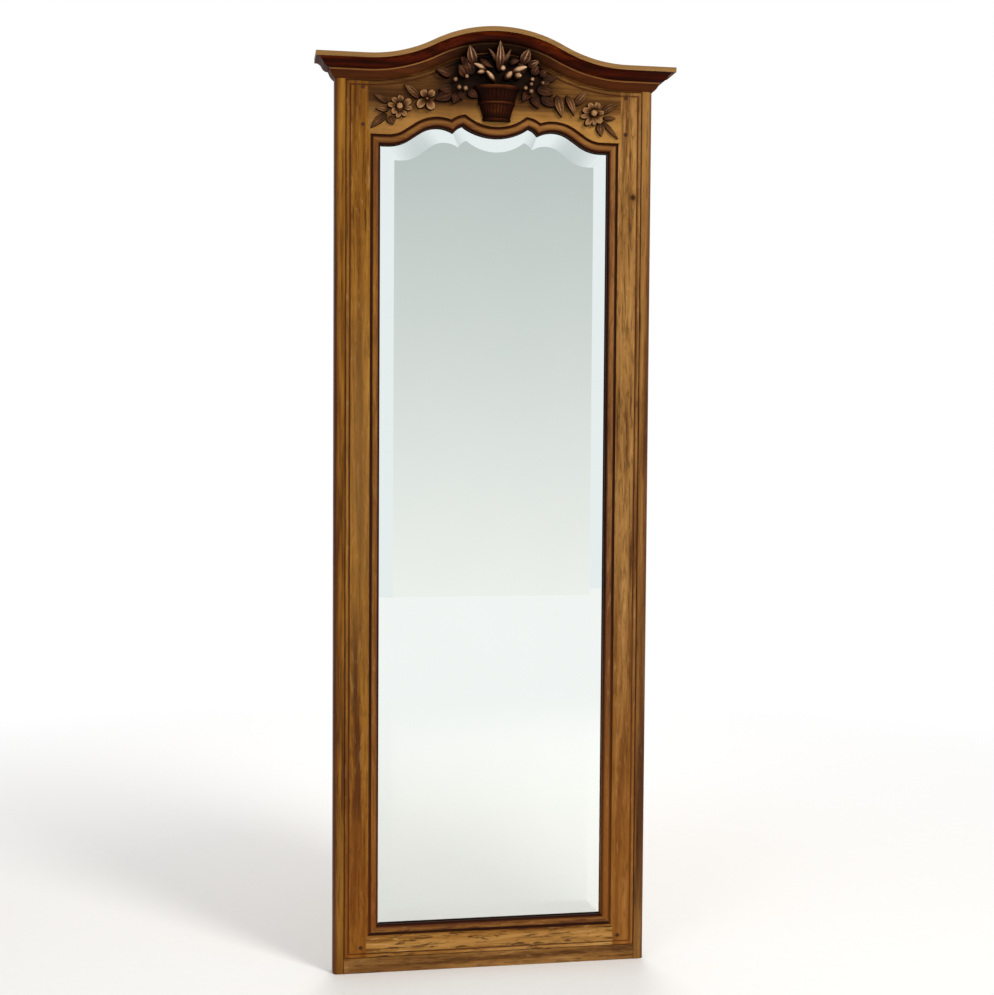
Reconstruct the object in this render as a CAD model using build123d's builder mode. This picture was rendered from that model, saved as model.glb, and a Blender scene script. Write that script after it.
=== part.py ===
from build123d import *
import math
import os

os.makedirs("parts", exist_ok=True)

# Frame of reference: X to the right, Z up, the front looks towards -Y.
# The origin is the middle of the footprint, on the floor.

# Overall body
body_half_width = 330.0
shoulder_height = 1875.0
arch_rise = 65.0
level_shoulder = 63.0

# Side boards and base rail
side_board_width = 22.5
side_board_round = 9.5
base_rail_height = 31.0
rail_tenon_length = 10.0
rail_tenon_thickness = 10.0
rail_tenon_setback = 5.0

# Face frame, which is made like a door
frame_thickness = 26.0
stile_width = 70.5
bottom_rail_height = 67.0
top_rail_height = 127.0
bead_width = 8.0
bead_flat = 0.2
quirk_width = 2.2
quirk_depth = 3.0
frame_top_gap = 2.0
arris_round = 1.2

# Moulding around the sight edge: widths outwards from that edge, and drops below the front face
inner_fillet_width = 3.0
ovolo_width = 13.0
groove_width = 5.0
shoulder_margin = 4.0
inner_fillet_drop = 9.0
ovolo_drop = 0.8
groove_depth = 4.5
ovolo_inner_round = 6.5
ovolo_outer_round = 3.2

# Scalloped head of the sight opening: widths from the corner inwards, and rises above the corner
head_flat_width = 15.0
slope_width = 66.5
hump_width = 67.5
tooth_width = 19.5
head_cove_radius = 80.0
head_slope = 34.0
hump_radius = 64.0
notch_rise = 45.0
lobe_rise = 23.5
tooth_bulge = 1.5

# Joints of the face frame
tenon_thickness = 9.0
tenon_setback = 9.0
tenon_end_gap = 9.5
mortise_clearance = 0.2
top_tenon_margins = (29.0, 7.0)
bottom_tenon_margins = (9.0, 28.0)
peg_diameter = 8.4
peg_proud = 0.5
peg_setback = 11.0
top_peg_margins = (10.0, 6.0)
bottom_peg_margin = 13.0

# Crown moulding: steps out from the face and up from its foot
crown_height = 44.0
crown_projection = 39.5
crown_fillet_height = 9.5
crown_soffit_width = 4.0
crown_ovolo_out = 11.0
crown_ovolo_height = 15.0
crown_shelf_step = 1.0
crown_shelf_height = 2.8
crown_cyma_step = 2.5
cyma_bulge = 1.2
foot_bulge = 1.2

# Glass and what holds it
rebate_depth = 14.0
rebate_width = 11.0
rebate_headroom = 17.0
glass_thickness = 6.0
glass_overlap = 6.0
glass_edge_thickness = 3.0
bevel_reach = 29.0
silver_thickness = 0.4
strip_width = 12.0
head_board_drop = 3.0
setting_block_length = 30.0
setting_block_spacing = 240.0
pin_diameter = 1.6
pin_bite = 4.0
pins_per_strip = 4

# Back boards and battens
back_board_count = 5
back_board_thickness = 8.0
back_board_rise = 8.0
back_board_drop = 9.0
back_board_gap = 0.6
back_board_lap = 8.0
batten_height = 60.0
batten_thickness = 14.0
batten_inset = 5.0
batten_chamfer = 2.0
bottom_batten_rise = 50.0
top_batten_drop = 220.0
screw_head_diameter = 8.6
screw_shank_diameter = 4.2
screw_head_height = 3.0
screw_slot_width = 1.1
screw_slot_depth = 1.2
screw_front_cover = 8.0
side_screw_inset = 8.5
crown_screw_bite = 7.0
crown_screw_rise = 17.0
crown_screw_spacing = 130.0
nail_diameter = 2.2
nail_head_diameter = 5.0
nail_head_thickness = 1.0
nail_front_cover = 10.0
nail_inset = 22.0
nail_end_gap = 12.0

# Carving
basket_rise = 9.0
basket_height = 70.0
basket_half_top = 46.0
basket_half_bottom = 27.0
basket_proud_top = 28.0
basket_proud_bottom = 17.0
basket_rim_height = 7.0
basket_rim_out = 2.5
basket_band_height = 5.0
basket_band_rise = 33.0
basket_band_out = 1.5
leaf_cap = 4.0
leaf_taper = 28.0
berry_radius = 5.0

# Depths, measured back from the front face
body_depth = frame_thickness + back_board_thickness
front_y = -body_depth / 2
front = Plane.XZ.offset(-front_y)
frame_back = front.offset(-frame_thickness)
board_back = front.offset(-body_depth)

# Arch of the top
arch_run = body_half_width - level_shoulder
arch_radius = (arch_run**2 + arch_rise**2) / (4 * arch_rise)
arch_turn = math.asin(arch_run / (2 * arch_radius))
arch_low_centre = shoulder_height + arch_radius
arch_top_centre = shoulder_height + arch_rise - arch_radius
overall_top = shoulder_height + arch_rise

# Face frame and sight opening
frame_half_width = body_half_width - side_board_width
frame_drop = crown_height + frame_top_gap
frame_top = shoulder_height - frame_drop
sight_half_width = frame_half_width - stile_width
sight_bottom = base_rail_height + bottom_rail_height
sight_top = frame_top - top_rail_height
ovolo_outer = inner_fillet_width + ovolo_width
moulding_width = ovolo_outer + groove_width
shoulder_setback = moulding_width + shoulder_margin
shoulder_x = sight_half_width + shoulder_setback
bead_round = (bead_width - bead_flat) / 2
head_flat_start = sight_half_width - head_flat_width
hump_end_x = head_flat_start - slope_width
tooth_x = hump_end_x - hump_width
notch_x = tooth_x - tooth_width
notch_z = sight_top + notch_rise
lobe_bottom_z = sight_top + lobe_rise

# Tenons and their pegs
tenon_length = stile_width - shoulder_setback - tenon_end_gap
top_tenon_low = sight_top + top_tenon_margins[0]
top_tenon_high = frame_top - top_tenon_margins[1]
bottom_tenon_low = base_rail_height + bottom_tenon_margins[0]
bottom_tenon_high = sight_bottom - bottom_tenon_margins[1]
peg_x = shoulder_x + peg_setback
peg_heights = (
    top_tenon_low + top_peg_margins[0],
    top_tenon_high - top_peg_margins[1],
    bottom_tenon_low + bottom_peg_margin,
)

# Rebate and head board
rebate_x = sight_half_width + rebate_width
rebate_bottom = sight_bottom - rebate_width
rebate_top = notch_z + rebate_headroom
rebate_floor = frame_thickness - rebate_depth
head_board_low = sight_top - head_board_drop
strip_height = head_board_low - rebate_bottom
strip_inner_x = rebate_x - strip_width
strip_depth = rebate_depth - glass_thickness - silver_thickness
strip_y = front_y + frame_thickness - strip_depth / 2

# Carved basket
basket_bottom = notch_z + basket_rise
basket_top = basket_bottom + basket_height


def crown_line(drop, reach):
    # the arched line of the top, a given distance below the crown's upper edge, from right to left
    level = shoulder_height - drop
    low_radius = arch_radius + drop
    top_radius = arch_radius - drop
    bend_x = top_radius * math.sin(arch_turn)
    bend_z = arch_top_centre + top_radius * math.cos(arch_turn)
    low_mid_x = arch_run - low_radius * math.sin(arch_turn / 2)
    low_mid_z = arch_low_centre - low_radius * math.cos(arch_turn / 2)
    Line((reach, level), (arch_run, level))
    ThreePointArc((arch_run, level), (low_mid_x, low_mid_z), (bend_x, bend_z))
    ThreePointArc((bend_x, bend_z), (0, overall_top - drop), (-bend_x, bend_z))
    ThreePointArc((-bend_x, bend_z), (-low_mid_x, low_mid_z), (-arch_run, level))
    Line((-arch_run, level), (-reach, level))


def frame_face(inset):
    # the face frame's own outline, moved inwards by the inset, as a flat sketch
    half = frame_half_width - inset
    low = base_rail_height + inset
    level = frame_top - inset
    with BuildSketch() as outline:
        with BuildLine():
            crown_line(frame_drop + inset, half)
            Polyline((-half, level), (-half, low), (half, low), (half, level))
        make_face()
    return outline.sketch


def head_side(side, stretch, lift):
    # one side of the scalloped head: flat, cove, slope, hump and the short tooth up to the notch;
    # stretch widens it about the middle and lift raises it
    slope = math.radians(head_slope)
    cove_low = sight_top + head_cove_radius
    cove_x = head_flat_start - head_cove_radius * math.sin(slope)
    cove_z = cove_low - head_cove_radius * math.cos(slope)
    cove_mid_x = head_flat_start - head_cove_radius * math.sin(slope / 2)
    cove_mid_z = cove_low - head_cove_radius * math.cos(slope / 2)
    slope_end_z = cove_z + (cove_x - hump_end_x) * math.tan(slope)
    hump_x = hump_end_x - hump_radius * math.sin(slope)
    hump_low = slope_end_z - hump_radius * math.cos(slope)
    tooth_z = hump_low + math.sqrt(hump_radius**2 - (hump_x - tooth_x) ** 2)
    tooth_mid_x = (notch_x + tooth_x) / 2 + tooth_bulge
    tooth_mid_z = (notch_z + tooth_z) / 2 + tooth_bulge

    def at(x, z):
        return (side * stretch * x, z + lift)

    Line(at(sight_half_width, sight_top), at(head_flat_start, sight_top))
    ThreePointArc(at(head_flat_start, sight_top), at(cove_mid_x, cove_mid_z), at(cove_x, cove_z))
    Line(at(cove_x, cove_z), at(hump_end_x, slope_end_z))
    ThreePointArc(at(hump_end_x, slope_end_z), at(hump_x, hump_low + hump_radius), at(tooth_x, tooth_z))
    ThreePointArc(at(tooth_x, tooth_z), at(tooth_mid_x, tooth_mid_z), at(notch_x, notch_z))


def scalloped_face(half_width, low, lift):
    # the shape of the sight opening at another width, foot and head height, as a flat sketch
    stretch = half_width / sight_half_width
    top = sight_top + lift
    with BuildSketch() as shape:
        with BuildLine():
            head_side(1, stretch, lift)
            head_side(-1, stretch, lift)
            ThreePointArc(
                (stretch * notch_x, notch_z + lift), (0, lobe_bottom_z + lift), (-stretch * notch_x, notch_z + lift)
            )
            Polyline((-half_width, top), (-half_width, low), (half_width, low), (half_width, top))
        make_face()
    return shape.sketch


def sight_face(grow):
    # the sight opening, moved outwards by the given distance
    with BuildSketch() as opening:
        add(scalloped_face(sight_half_width, sight_bottom, 0))
        if grow:
            offset(amount=grow, kind=Kind.INTERSECTION)
    return opening.sketch


def glass_face(grow):
    # the outline of the glass or of its bevel: the sight opening's shape, wider or narrower by the given distance
    return scalloped_face(sight_half_width + grow, sight_bottom - grow, grow)


# The whole face frame in one: field, bead, moulding and rebate, later cut into its four members
with BuildPart() as bead_ring:
    with BuildSketch(front):
        add(frame_face(0))
        add(frame_face(bead_width), mode=Mode.SUBTRACT)
    extrude(amount=-frame_thickness)
    fillet(bead_ring.edges().group_by(Axis.Y)[0], radius=bead_round)

with BuildPart() as field_ring:
    with BuildSketch(front):
        add(frame_face(bead_width + quirk_width))
        add(sight_face(moulding_width), mode=Mode.SUBTRACT)
    extrude(amount=-frame_thickness)
    fillet(field_ring.faces().sort_by(Axis.Y)[0].outer_wire().edges(), radius=arris_round)

with BuildPart() as ovolo_ring:
    with BuildSketch(front.offset(-ovolo_drop)):
        add(sight_face(ovolo_outer))
        add(sight_face(inner_fillet_width), mode=Mode.SUBTRACT)
    extrude(amount=ovolo_drop - frame_thickness)
    ovolo_front = ovolo_ring.faces().sort_by(Axis.Y)[0]
    fillet(ovolo_front.inner_wires()[0].edges(), radius=ovolo_inner_round)
    ovolo_front = ovolo_ring.faces().sort_by(Axis.Y)[0]
    fillet(ovolo_front.outer_wire().edges(), radius=ovolo_outer_round)

with BuildPart() as whole_frame:
    with BuildSketch(front.offset(-quirk_depth)):
        add(frame_face(0))
        add(sight_face(moulding_width), mode=Mode.SUBTRACT)
    extrude(amount=quirk_depth - frame_thickness)
    with BuildSketch(front.offset(-groove_depth)):
        add(sight_face(moulding_width))
        add(sight_face(inner_fillet_width), mode=Mode.SUBTRACT)
    extrude(amount=groove_depth - frame_thickness)
    with BuildSketch(front.offset(-inner_fillet_drop)):
        add(sight_face(inner_fillet_width))
        add(sight_face(0), mode=Mode.SUBTRACT)
    extrude(amount=inner_fillet_drop - frame_thickness)
    add(bead_ring.part)
    add(field_ring.part)
    add(ovolo_ring.part)
    with BuildSketch(frame_back):
        with Locations((0, (sight_bottom - rebate_width + rebate_top) / 2)):
            Rectangle(2 * (sight_half_width + rebate_width), rebate_top - sight_bottom + rebate_width)
    extrude(amount=rebate_depth, mode=Mode.SUBTRACT)


# Outlines that share the whole frame out among its members: mitres at the moulding, then straight shoulders
mitre_x = sight_half_width - inner_fillet_width
top_tenon_height = top_tenon_high - top_tenon_low
bottom_tenon_height = bottom_tenon_high - bottom_tenon_low
top_tenon_z = (top_tenon_high + top_tenon_low) / 2
bottom_tenon_z = (bottom_tenon_high + bottom_tenon_low) / 2
tenon_plane = front.offset(-tenon_setback)

with BuildSketch(front) as top_region:
    Polygon(
        (-shoulder_x, overall_top),
        (-shoulder_x, sight_top + shoulder_setback),
        (-mitre_x, sight_top - inner_fillet_width),
        (mitre_x, sight_top - inner_fillet_width),
        (shoulder_x, sight_top + shoulder_setback),
        (shoulder_x, overall_top),
        align=None,
    )

with BuildSketch(front) as bottom_region:
    Polygon(
        (-shoulder_x, 0),
        (-shoulder_x, sight_bottom - shoulder_setback),
        (-mitre_x, sight_bottom + inner_fillet_width),
        (mitre_x, sight_bottom + inner_fillet_width),
        (shoulder_x, sight_bottom - shoulder_setback),
        (shoulder_x, 0),
        align=None,
    )

# Pegs that pin the tenons: two at each top joint and one at each bottom joint
peg_spots = [(side * peg_x, height) for side in (-1, 1) for height in peg_heights]
with BuildPart() as joint_pegs:
    with BuildSketch(front.offset(peg_proud)):
        with Locations(*peg_spots):
            Circle(peg_diameter / 2)
    extrude(amount=-frame_thickness - peg_proud)
    chamfer(joint_pegs.edges().group_by(Axis.Y)[0], length=peg_proud / 2)

# Pins that hold the glazing strips and the head board, driven sideways into the stiles
pin_heights = [rebate_bottom + strip_height * (index + 0.5) / pins_per_strip for index in range(pins_per_strip)]
pin_heights.append((head_board_low + rebate_top) / 2)
with BuildPart() as strip_pins:
    with BuildSketch(Plane.YZ.offset(strip_inner_x)):
        with Locations(*[(strip_y, height) for height in pin_heights]):
            Circle(pin_diameter / 2)
    extrude(amount=strip_width + pin_bite)
    mirror(about=Plane.YZ)


def crown_level(x, drop):
    # height of the arched line at a distance from the middle
    if x < (arch_radius - drop) * math.sin(arch_turn):
        return arch_top_centre + math.sqrt((arch_radius - drop) ** 2 - x**2)
    if x < arch_run:
        return arch_low_centre - math.sqrt((arch_radius + drop) ** 2 - (arch_run - x) ** 2)
    return shoulder_height - drop


def screw_set(depth, spots, length, slotted):
    # countersunk screws driven from behind, their heads flush at a depth behind the front face
    top = (Align.CENTER, Align.CENTER, Align.MAX)
    plane = Plane(origin=(0, front_y + depth, 0), x_dir=(-1, 0, 0), z_dir=(0, 1, 0))
    with BuildPart(plane) as screws:
        with Locations(*spots):
            Cone(screw_shank_diameter / 2, screw_head_diameter / 2, screw_head_height, align=top)
            Cylinder(screw_shank_diameter / 2, length, align=top)
            if slotted:
                Box(screw_head_diameter, screw_slot_width, screw_slot_depth, align=top, mode=Mode.SUBTRACT)
    return screws.part


top_batten_bottom = shoulder_height - top_batten_drop
batten_bottoms = (bottom_batten_rise, (bottom_batten_rise + top_batten_bottom) / 2, top_batten_bottom)
batten_back_depth = body_depth + batten_thickness
batten_screw_length = batten_back_depth - screw_front_cover
batten_spots = [
    (side * x, bottom + batten_height / 2)
    for bottom in batten_bottoms
    for side in (-1, 1)
    for x in (frame_half_width + side_screw_inset, (shoulder_x + frame_half_width) / 2)
]
crown_screw_length = frame_thickness + crown_screw_bite
crown_spots = [
    (step * crown_screw_spacing, crown_level(abs(step) * crown_screw_spacing, crown_height - crown_screw_rise))
    for step in (-2, -1, 0, 1, 2)
]
batten_holes = screw_set(batten_back_depth, batten_spots, batten_screw_length, False)
crown_holes = screw_set(frame_thickness, crown_spots, crown_screw_length, False)

with BuildPart() as batten_screws:
    add(screw_set(batten_back_depth, batten_spots, batten_screw_length, True))

with BuildPart() as crown_screws:
    add(screw_set(frame_thickness, crown_spots, crown_screw_length, True))

# Nails of the back boards, two at the head and two at the foot of each board
board_width = (2 * frame_half_width - (back_board_count + 1) * back_board_gap) / back_board_count
board_lefts = [
    -frame_half_width + back_board_gap + index * (board_width + back_board_gap) for index in range(back_board_count)
]
back_board_top = shoulder_height - back_board_drop
nail_heights = (back_board_rise + nail_end_gap, back_board_top - nail_end_gap)
nail_spots = [
    (left + inset, height)
    for left in board_lefts
    for inset in (nail_inset, board_width - nail_inset)
    for height in nail_heights
]
with BuildPart() as board_nails:
    with BuildSketch(board_back):
        with Locations(*nail_spots):
            Circle(nail_head_diameter / 2)
    extrude(amount=nail_head_thickness)
    with BuildSketch(board_back):
        with Locations(*nail_spots):
            Circle(nail_diameter / 2)
    extrude(amount=body_depth - nail_front_cover)

with BuildPart() as top_rail:
    add(whole_frame.part)
    extrude(top_region.sketch, amount=-frame_thickness, mode=Mode.INTERSECT)
    with BuildSketch(tenon_plane):
        with Locations((0, top_tenon_z)):
            Rectangle(2 * (shoulder_x + tenon_length), top_tenon_height)
        with Locations((0, top_tenon_z)):
            Rectangle(2 * shoulder_x, top_tenon_height, mode=Mode.SUBTRACT)
    extrude(amount=-tenon_thickness)
    add(joint_pegs.part, mode=Mode.SUBTRACT)
    add(strip_pins.part, mode=Mode.SUBTRACT)
    add(board_nails.part, mode=Mode.SUBTRACT)

with BuildPart() as bottom_rail:
    add(whole_frame.part)
    extrude(bottom_region.sketch, amount=-frame_thickness, mode=Mode.INTERSECT)
    with BuildSketch(tenon_plane):
        with Locations((0, bottom_tenon_z)):
            Rectangle(2 * (shoulder_x + tenon_length), bottom_tenon_height)
        with Locations((0, bottom_tenon_z)):
            Rectangle(2 * shoulder_x, bottom_tenon_height, mode=Mode.SUBTRACT)
    extrude(amount=-tenon_thickness)
    add(joint_pegs.part, mode=Mode.SUBTRACT)

# Both stiles in one, with their mortises, then parted down the middle
mortise_reach = tenon_length + mortise_clearance
with BuildPart() as stile_pair:
    add(whole_frame.part)
    extrude(top_region.sketch, amount=-frame_thickness, mode=Mode.SUBTRACT)
    extrude(bottom_region.sketch, amount=-frame_thickness, mode=Mode.SUBTRACT)
    with BuildSketch(tenon_plane):
        with Locations((0, top_tenon_z)):
            Rectangle(2 * (shoulder_x + mortise_reach), top_tenon_height)
        with Locations((0, bottom_tenon_z)):
            Rectangle(2 * (shoulder_x + mortise_reach), bottom_tenon_height)
    extrude(amount=-tenon_thickness, mode=Mode.SUBTRACT)
    add(joint_pegs.part, mode=Mode.SUBTRACT)
    add(strip_pins.part, mode=Mode.SUBTRACT)
    add(board_nails.part, mode=Mode.SUBTRACT)
    add(batten_holes, mode=Mode.SUBTRACT)

with BuildPart() as left_stile:
    add(stile_pair.part)
    split(bisect_by=Plane.YZ, keep=Keep.BOTTOM)

with BuildPart() as right_stile:
    add(stile_pair.part)
    split(bisect_by=Plane.YZ, keep=Keep.TOP)

# Side boards: the full height of the body, rounded at the outer front corner
base_mortise_z = base_rail_height / 2
cap_mortise_z = shoulder_height - crown_height / 2
side_centre = (frame_half_width + body_half_width) / 2
rail_tenon_height = base_rail_height - 2 * rail_tenon_setback
rail_tenon_y = front_y + frame_thickness / 2
rail_mortise_x = frame_half_width + rail_tenon_length + mortise_clearance
rail_tenon_x = frame_half_width + rail_tenon_length / 2

with BuildPart() as side_pair:
    with BuildSketch(Plane.XY):
        with Locations((-side_centre, 0), (side_centre, 0)):
            Rectangle(side_board_width, body_depth)
    extrude(amount=shoulder_height)
    front_corners = side_pair.edges().filter_by(Axis.Z).group_by(Axis.Y)[0].sort_by(Axis.X)
    fillet([front_corners[0], front_corners[-1]], radius=side_board_round)
    with Locations((0, rail_tenon_y, base_mortise_z), (0, rail_tenon_y, cap_mortise_z)):
        Box(2 * rail_mortise_x, rail_tenon_thickness, rail_tenon_height, mode=Mode.SUBTRACT)
    add(batten_holes, mode=Mode.SUBTRACT)

with BuildPart() as left_side_board:
    add(side_pair.part)
    split(bisect_by=Plane.YZ, keep=Keep.BOTTOM)

with BuildPart() as right_side_board:
    add(side_pair.part)
    split(bisect_by=Plane.YZ, keep=Keep.TOP)

# Base rail: the strip that the face frame stands on
with BuildPart() as base_rail:
    with Locations((0, rail_tenon_y, base_mortise_z)):
        Box(2 * frame_half_width, frame_thickness, base_rail_height)
        Box(2 * (frame_half_width + rail_tenon_length), rail_tenon_thickness, rail_tenon_height)
    add(board_nails.part, mode=Mode.SUBTRACT)

# Cap rail: the arched board that carries the crown
with BuildPart() as cap_rail:
    with BuildSketch(front):
        with BuildLine():
            crown_line(0, frame_half_width)
            crown_line(frame_drop, frame_half_width)
            for side in (-1, 1):
                cap_x = side * frame_half_width
                Line((cap_x, shoulder_height), (cap_x, frame_top))
        make_face()
    extrude(amount=-frame_thickness)
    with Locations((-rail_tenon_x, rail_tenon_y, cap_mortise_z), (rail_tenon_x, rail_tenon_y, cap_mortise_z)):
        Box(rail_tenon_length, rail_tenon_thickness, rail_tenon_height)
    add(crown_holes, mode=Mode.SUBTRACT)
    add(board_nails.part, mode=Mode.SUBTRACT)

# Crown moulding: one section, bent over the arch in front and returned along both sides
crown_reach = body_half_width + crown_projection
back_y = front_y + body_depth
mitre_end_y = front_y - crown_projection


def crown_section():
    # projection from the face to the right, height above the crown's upper edge upwards
    shelf_x = crown_ovolo_out + crown_shelf_step
    shelf_low = crown_ovolo_height - crown_height
    cyma_top = (crown_projection - crown_soffit_width, -crown_fillet_height)
    cyma_foot = (shelf_x + crown_cyma_step, shelf_low + crown_shelf_height)
    cyma_bend = ((cyma_top[0] + cyma_foot[0]) / 2, (cyma_top[1] + cyma_foot[1]) / 2)
    hollow = ((cyma_top[0] + cyma_bend[0]) / 2 - cyma_bulge, (cyma_top[1] + cyma_bend[1]) / 2 + cyma_bulge)
    swell = ((cyma_bend[0] + cyma_foot[0]) / 2 + cyma_bulge, (cyma_bend[1] + cyma_foot[1]) / 2 - cyma_bulge)
    ovolo_top = (crown_ovolo_out, shelf_low)
    ovolo_mid = (crown_ovolo_out / 2 + foot_bulge, (shelf_low - crown_height) / 2 - foot_bulge)
    with BuildSketch() as section:
        with BuildLine():
            Polyline(
                (0, -crown_height),
                (0, 0),
                (crown_projection, 0),
                (crown_projection, -crown_fillet_height),
                cyma_top,
            )
            ThreePointArc(cyma_top, hollow, cyma_bend)
            ThreePointArc(cyma_bend, swell, cyma_foot)
            Polyline(cyma_foot, (shelf_x, cyma_foot[1]), (shelf_x, shelf_low), ovolo_top)
            ThreePointArc(ovolo_top, ovolo_mid, (0, -crown_height))
        make_face()
    return section.sketch


with BuildPart() as crown_front:
    with BuildLine(front) as crown_path:
        crown_line(0, crown_reach)
    with BuildSketch(Plane(origin=(crown_reach, front_y, shoulder_height), x_dir=(0, -1, 0), z_dir=(-1, 0, 0))):
        add(crown_section())
    sweep(path=crown_path.wires()[0])
    with BuildSketch(Plane.XY.offset(shoulder_height - crown_height)):
        Polygon(
            (-body_half_width, front_y),
            (body_half_width, front_y),
            (crown_reach, mitre_end_y),
            (-crown_reach, mitre_end_y),
            align=None,
        )
    extrude(amount=crown_height + arch_rise, mode=Mode.INTERSECT)
    add(crown_holes, mode=Mode.SUBTRACT)


def crown_return(side):
    # the moulding along one side, from the mitre back to the rear of the body
    face_x = side * body_half_width
    edge_x = side * crown_reach
    with BuildPart() as moulding:
        with BuildSketch(Plane(origin=(face_x, back_y, shoulder_height), x_dir=(side, 0, 0), z_dir=(0, -side, 0))):
            add(crown_section())
        extrude(amount=side * (body_depth + crown_projection))
        with BuildSketch(Plane.XY.offset(shoulder_height - crown_height)):
            Polygon((face_x, front_y), (edge_x, mitre_end_y), (edge_x, back_y), (face_x, back_y), align=None)
        extrude(amount=crown_height, mode=Mode.INTERSECT)
    return moulding.part


with BuildPart() as crown_return_left:
    add(crown_return(-1))

with BuildPart() as crown_return_right:
    add(crown_return(1))

# Mirror glass: a bevelled plate that follows the scalloped head, with its silvering behind
with BuildPart() as mirror_glass:
    with BuildSketch(front.offset(-rebate_floor - glass_thickness)):
        add(glass_face(glass_overlap))
    extrude(amount=glass_edge_thickness)
    with BuildSketch(front.offset(-rebate_floor - glass_thickness + glass_edge_thickness)):
        add(glass_face(glass_overlap))
    with BuildSketch(front.offset(-rebate_floor)):
        add(glass_face(-bevel_reach))
    loft(ruled=True)

with BuildPart() as silvering:
    with BuildSketch(front.offset(-rebate_floor - glass_thickness)):
        add(glass_face(glass_overlap))
    extrude(amount=-silver_thickness)

# Glazing strips, head board and setting blocks in the rebate
strip_front = front.offset(-rebate_floor - glass_thickness - silver_thickness)
with BuildPart() as strip_pair:
    with BuildSketch(strip_front):
        for side in (-1, 1):
            with Locations((side * (rebate_x - strip_width / 2), rebate_bottom + strip_height / 2)):
                Rectangle(strip_width, strip_height)
    extrude(amount=-strip_depth)
    add(strip_pins.part, mode=Mode.SUBTRACT)

with BuildPart() as left_glazing_strip:
    add(strip_pair.part)
    split(bisect_by=Plane.YZ, keep=Keep.BOTTOM)

with BuildPart() as right_glazing_strip:
    add(strip_pair.part)
    split(bisect_by=Plane.YZ, keep=Keep.TOP)

with BuildPart() as bottom_glazing_strip:
    with BuildSketch(strip_front):
        with Locations((0, rebate_bottom + strip_width / 2)):
            Rectangle(2 * strip_inner_x, strip_width)
    extrude(amount=-strip_depth)

with BuildPart() as head_board:
    with BuildSketch(strip_front):
        with Locations((0, (head_board_low + rebate_top) / 2)):
            Rectangle(2 * rebate_x, rebate_top - head_board_low)
    extrude(amount=-strip_depth)
    add(strip_pins.part, mode=Mode.SUBTRACT)

with BuildPart() as setting_blocks:
    with BuildSketch(front.offset(-rebate_floor)):
        with Locations((0, rebate_bottom + (rebate_width - glass_overlap) / 2)):
            with GridLocations(setting_block_spacing, 0, 2, 1):
                Rectangle(setting_block_length, rebate_width - glass_overlap)
    extrude(amount=-glass_thickness)

# Back boards, half lapped over each other, between the side boards
board_front_y = front_y + frame_thickness
lap_thickness = back_board_thickness / 2


def back_board(index):
    left = board_lefts[index]
    right = left + board_width
    lap_left = left if index == 0 else left + back_board_lap + back_board_gap
    lap_right = right if index == back_board_count - 1 else right + back_board_lap + back_board_gap
    with BuildPart() as board:
        with BuildSketch(Plane.XY.offset(back_board_rise)):
            with Locations(((lap_left + lap_right) / 2, board_front_y + lap_thickness / 2)):
                Rectangle(lap_right - lap_left, lap_thickness)
            with Locations(((left + right) / 2, board_front_y + 3 * lap_thickness / 2)):
                Rectangle(right - left, lap_thickness)
        extrude(amount=back_board_top - back_board_rise)
        add(board_nails.part, mode=Mode.SUBTRACT)
        add(batten_holes, mode=Mode.SUBTRACT)
    return board.part


back_boards = [back_board(index) for index in range(back_board_count)]

# Battens across the back, which tie the side boards to the face frame


def batten(bottom):
    with BuildPart() as bar:
        with BuildSketch(board_back):
            with Locations((0, bottom + batten_height / 2)):
                Rectangle(2 * (body_half_width - batten_inset), batten_height)
        extrude(amount=-batten_thickness)
        chamfer(bar.edges().group_by(Axis.Y)[-1], length=batten_chamfer)
        add(batten_holes, mode=Mode.SUBTRACT)
    return bar.part


battens = [batten(bottom) for bottom in batten_bottoms]

# Carved basket: a half round tub with a rim, a middle band and a foot


def half_round(level, grow):
    # the basket's plan at a height, flat against the rail
    share = (level - basket_bottom) / basket_height
    half = basket_half_bottom + share * (basket_half_top - basket_half_bottom) + grow
    proud = basket_proud_bottom + share * (basket_proud_top - basket_proud_bottom) + grow
    with BuildSketch() as plan:
        with BuildLine():
            ThreePointArc((-half, front_y), (0, front_y - proud), (half, front_y))
            Line((half, front_y), (-half, front_y))
        make_face()
    return plan.sketch


with BuildPart() as carved_basket:
    with BuildSketch(Plane.XY.offset(basket_bottom)):
        add(half_round(basket_bottom, 0))
    with BuildSketch(Plane.XY.offset(basket_top)):
        add(half_round(basket_top, 0))
    loft(ruled=True)
    with BuildSketch(Plane.XY.offset(basket_top - basket_rim_height)):
        add(half_round(basket_top, basket_rim_out))
    extrude(amount=basket_rim_height)
    for level in (basket_bottom, basket_bottom + basket_band_rise):
        with BuildSketch(Plane.XY.offset(level)):
            add(half_round(level + basket_band_height, basket_band_out))
        extrude(amount=basket_band_height)

# Leaves and berries of the carving, placed from a datum: the middle of the basket's rim for the bouquet,
# the upper corner of the sight opening for each spray. A leaf has its foot, tip, width and how far it stands
# out of the rail; a berry has its centre and how far it stands out.


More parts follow.
